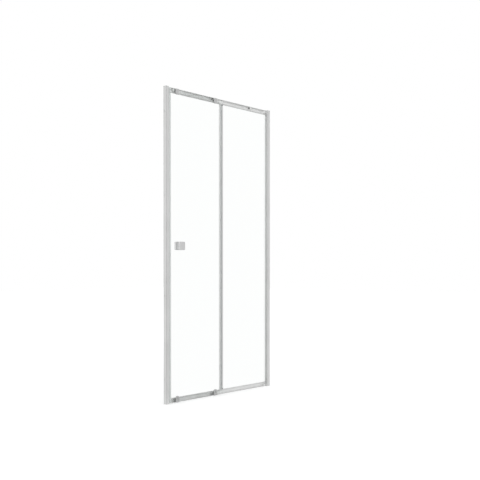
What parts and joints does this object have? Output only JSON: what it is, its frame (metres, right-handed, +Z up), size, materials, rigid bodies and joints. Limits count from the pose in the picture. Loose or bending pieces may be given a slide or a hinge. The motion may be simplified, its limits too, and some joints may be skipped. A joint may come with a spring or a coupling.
{
  "type": "sliding shower door",
  "caption": "Framed alcove shower door: a fixed glass pane and a glass pane that slides on wheeled carriages between a top and a bottom rail, with a square knob.",
  "frame": {"origin": "centre of the bottom rail's underside, where it meets the tray", "axes": "+X along the width towards the fixed pane, +Y from the moving pane's side to the fixed pane's side, +Z up"},
  "size_m": [1, 0.047, 1.9],
  "materials": {
    "satin_aluminium": "satin anodised",
    "clear_glass": "polished, 5 mm toughened",
    "clear_seal": "translucent soft PVC",
    "pale_seal": "matt soft PVC",
    "black_rubber": "matt",
    "magnet_strip": "plastic bonded magnet",
    "grey_moulding": "silver grey, satin",
    "button_plastic": "grey acetal",
    "white_acetal": "natural acetal",
    "satin_chrome": "satin chrome plate",
    "stainless": "stainless steel",
    "wheel_tyre": "grey acetal"
  },
  "bodies": {
    "frame": {"wall_profile_left": "satin_aluminium", "wall_profile_right": "satin_aluminium", "post_left": "satin_aluminium", "post_right": "satin_aluminium", "post_caps": "grey_moulding", "post_screws": "stainless", "top_rail": "satin_aluminium", "bottom_rail": "satin_aluminium", "corner_blocks": "satin_aluminium", "corner_screws": "stainless", "rail_stops": "white_acetal", "stop_buffers": "black_rubber", "fixed_glass": "clear_glass", "fixed_stile": "satin_aluminium", "rail_gaskets": "pale_seal", "side_gasket": "pale_seal", "strike_seal": "pale_seal", "strike_magnet": "magnet_strip"},
    "door": {"clamp_bolts": "stainless", "door_magnet": "magnet_strip", "glass_bushes": "white_acetal", "handle_knob_front": "satin_chrome", "handle_knob_rear": "satin_chrome", "handle_sleeve": "white_acetal", "handle_stud": "stainless", "handle_washers": "pale_seal", "leading_seal": "clear_seal", "release_housing_left": "grey_moulding", "release_housing_right": "grey_moulding", "release_plates": "stainless", "release_screws": "stainless", "release_spring_left": "stainless", "release_spring_right": "stainless", "sliding_glass": "clear_glass", "top_axles": "stainless", "top_bases": "button_plastic", "top_bearing_inners": "stainless", "top_cover_left": "grey_moulding", "top_cover_right": "grey_moulding", "top_plates": "stainless", "trailing_fin": "clear_seal", "trailing_stile": "satin_aluminium", "trailing_stile_caps": "grey_moulding"},
    "top_wheel_left": {"top_wheel_bearing_left": "stainless", "top_wheel_tyre_left": "wheel_tyre"},
    "release_left": {"release_slider_left": "button_plastic", "release_button_left": "button_plastic", "release_axle_left": "stainless", "low_bearing_inner_left": "stainless"},
    "low_wheel_left": {"low_wheel_bearing_left": "stainless", "low_wheel_tyre_left": "wheel_tyre"},
    "top_wheel_right": {"top_wheel_bearing_right": "stainless", "top_wheel_tyre_right": "wheel_tyre"},
    "release_right": {"release_slider_right": "button_plastic", "release_button_right": "button_plastic", "release_axle_right": "stainless", "low_bearing_inner_right": "stainless"},
    "low_wheel_right": {"low_wheel_bearing_right": "stainless", "low_wheel_tyre_right": "wheel_tyre"}
  },
  "joints": [
    {"name": "door_slide", "type": "slide", "parent": "frame", "child": "door", "axis": [1, 0, 0], "range_m": [0, 0.345]},
    {"name": "top_wheel_left_spin", "type": "hinge", "parent": "door", "child": "top_wheel_left", "pos_m": [-0.404, -0.001, 1.888], "axis": [0, 1, 0], "continuous": true},
    {"name": "release_left_press", "type": "slide", "parent": "door", "child": "release_left", "axis": [0, 0, -1], "range_m": [0, 0.0045], "stiffness_N_per_m": 1000, "springref_m": -0.005, "deforming": ["release_spring_left"]},
    {"name": "low_wheel_left_spin", "type": "hinge", "parent": "release_left", "child": "low_wheel_left", "pos_m": [-0.404, -0.001, 0.014], "axis": [0, 1, 0], "continuous": true},
    {"name": "top_wheel_right_spin", "type": "hinge", "parent": "door", "child": "top_wheel_right", "pos_m": [-0.06, -0.001, 1.888], "axis": [0, 1, 0], "continuous": true},
    {"name": "release_right_press", "type": "slide", "parent": "door", "child": "release_right", "axis": [0, 0, -1], "range_m": [0, 0.0045], "stiffness_N_per_m": 1000, "springref_m": -0.005, "deforming": ["release_spring_right"]},
    {"name": "low_wheel_right_spin", "type": "hinge", "parent": "release_right", "child": "low_wheel_right", "pos_m": [-0.06, -0.001, 0.014], "axis": [0, 1, 0], "continuous": true}
  ],
  "couplings": [
    {"joint": "top_wheel_left_spin", "follows": "door_slide", "rad_per_m": 129.87},
    {"joint": "low_wheel_left_spin", "follows": "door_slide", "rad_per_m": -175.44},
    {"joint": "top_wheel_right_spin", "follows": "door_slide", "rad_per_m": 129.87},
    {"joint": "low_wheel_right_spin", "follows": "door_slide", "rad_per_m": -175.44}
  ]
}
